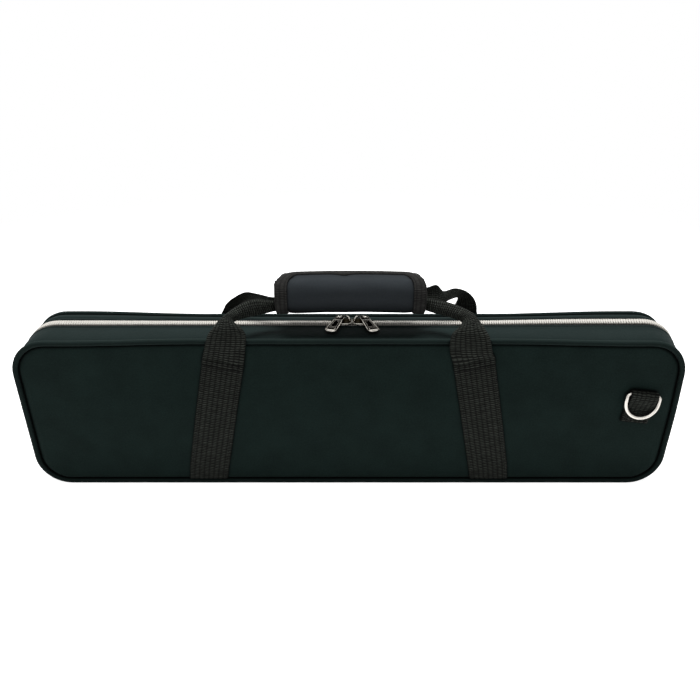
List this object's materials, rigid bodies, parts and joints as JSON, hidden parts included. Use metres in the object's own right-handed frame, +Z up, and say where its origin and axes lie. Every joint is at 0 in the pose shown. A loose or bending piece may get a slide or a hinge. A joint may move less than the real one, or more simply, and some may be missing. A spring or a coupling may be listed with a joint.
{
  "type": "tuning fork case",
  "caption": "Long padded zip case with piped edges, a wrapped carrying handle, shoulder-strap rings and a foam insert with fork-shaped pockets.",
  "frame": {"origin": "on the floor under the middle of the case, standing upright on its piped bottom edges", "axes": "+X along the case to the end that carries the front ring, +Y from the front panel to the rear panel, +Z up to the handle"},
  "size_m": [0.43, 0.0602, 0.1475],
  "materials": {
    "shell_nylon": "fine woven nylon, very dark green-black",
    "piping": "nylon-covered cord, very dark green-black",
    "foam": "stiff closed-cell foam",
    "lining_cloth": "brushed lining cloth, charcoal",
    "zip_tape": "woven tape, near black",
    "zip_teeth": "pale silver moulded teeth",
    "webbing": "ribbed webbing, warm charcoal",
    "nickel": "polished nickel plate",
    "pull_enamel": "black enamel",
    "grip_nylon": "smooth woven nylon, dark slate",
    "binding": "woven binding tape, near black",
    "hook_and_loop": "hook and loop tape, black",
    "insert_foam": "charcoal foam"
  },
  "bodies": {
    "tray": {"front_panel": "shell_nylon", "front_piping": "piping", "front_gusset": "shell_nylon", "front_foam_board": "foam", "front_wall_padding": "foam", "front_lining": "lining_cloth", "front_zip_tape": "zip_tape", "front_zip_teeth": "zip_teeth", "front_handle_legs": "webbing", "front_handle_spans": "webbing", "front_ring_tab": "webbing", "hinge_strip": "binding", "fork_insert_base": "insert_foam", "fork_insert_sheet": "insert_foam"},
    "lid": {"rear_panel": "shell_nylon", "rear_piping": "piping", "rear_gusset": "shell_nylon", "rear_foam_board": "foam", "rear_wall_padding": "foam", "rear_lining": "lining_cloth", "rear_zip_tape": "zip_tape", "rear_zip_teeth": "zip_teeth", "rear_handle_legs": "webbing", "rear_handle_spans": "webbing", "rear_ring_tab": "webbing"},
    "front_grip": {"front_grip_webbing": "webbing", "grip_sleeve": "grip_nylon", "grip_sleeve_binding": "binding", "grip_hook_patch": "hook_and_loop"},
    "rear_grip": {"rear_grip_webbing": "webbing"},
    "wrap_flap": {"grip_flap": "grip_nylon", "grip_flap_binding": "binding", "grip_loop_patch": "hook_and_loop"},
    "slider_left": {"slider_left": "nickel"},
    "slider_right": {"slider_right": "nickel"},
    "pull_left": {"pull_frame_left": "nickel", "pull_plate_left": "pull_enamel"},
    "pull_right": {"pull_frame_right": "nickel", "pull_plate_right": "pull_enamel"},
    "ring_front": {"front_d_ring": "nickel"},
    "ring_rear": {"rear_d_ring": "nickel"}
  },
  "joints": [
    {"name": "lid_hinge", "type": "hinge", "parent": "tray", "child": "lid", "pos_m": [0, 0.004, 0], "axis": [-1, 0, 0], "range_deg": [0, 180], "deforming": ["front_zip_tape", "front_zip_teeth", "rear_zip_tape", "rear_zip_teeth", "hinge_strip"]},
    {"name": "slider_left_run", "type": "slide", "parent": "tray", "child": "slider_left", "axis": [-1, 0, 0], "range_m": [0, 0.165]},
    {"name": "slider_right_run", "type": "slide", "parent": "tray", "child": "slider_right", "axis": [1, 0, 0], "range_m": [0, 0.165]},
    {"name": "pull_left_swing", "type": "hinge", "parent": "slider_left", "child": "pull_left", "pos_m": [-0.006, 0.004, 0.111], "axis": [0, 0, -1], "range_deg": [-14, 70]},
    {"name": "pull_right_swing", "type": "hinge", "parent": "slider_right", "child": "pull_right", "pos_m": [0.0106, 0.004, 0.111], "axis": [0, 0, 1], "range_deg": [-14, 70]},
    {"name": "ring_front_swing", "type": "hinge", "parent": "tray", "child": "ring_front", "pos_m": [0.1913, -0.02668, 0.0728], "axis": [-0.9925, 0, 0.1219], "range_deg": [0, 155]},
    {"name": "ring_rear_swing", "type": "hinge", "parent": "lid", "child": "ring_rear", "pos_m": [-0.1913, 0.02668, 0.0728], "axis": [0.9925, 0, 0.1219], "range_deg": [0, 155]},
    {"name": "handle_lift", "type": "slide", "parent": "tray", "child": "front_grip", "axis": [0, 0, 1], "range_m": [0, 0.02], "deforming": ["front_handle_spans"]},
    {"name": "rear_handle_lift", "type": "slide", "parent": "lid", "child": "rear_grip", "axis": [0, 0, 1], "range_m": [0, 0.02], "deforming": ["rear_handle_spans"]},
    {"name": "wrap_flap_hinge", "type": "hinge", "parent": "front_grip", "child": "wrap_flap", "pos_m": [0, 0, 0.1205], "axis": [1, 0, 0], "range_deg": [0, 60]}
  ],
  "couplings": [
    {"joint": "rear_handle_lift", "follows": "handle_lift", "ratio": 1}
  ]
}
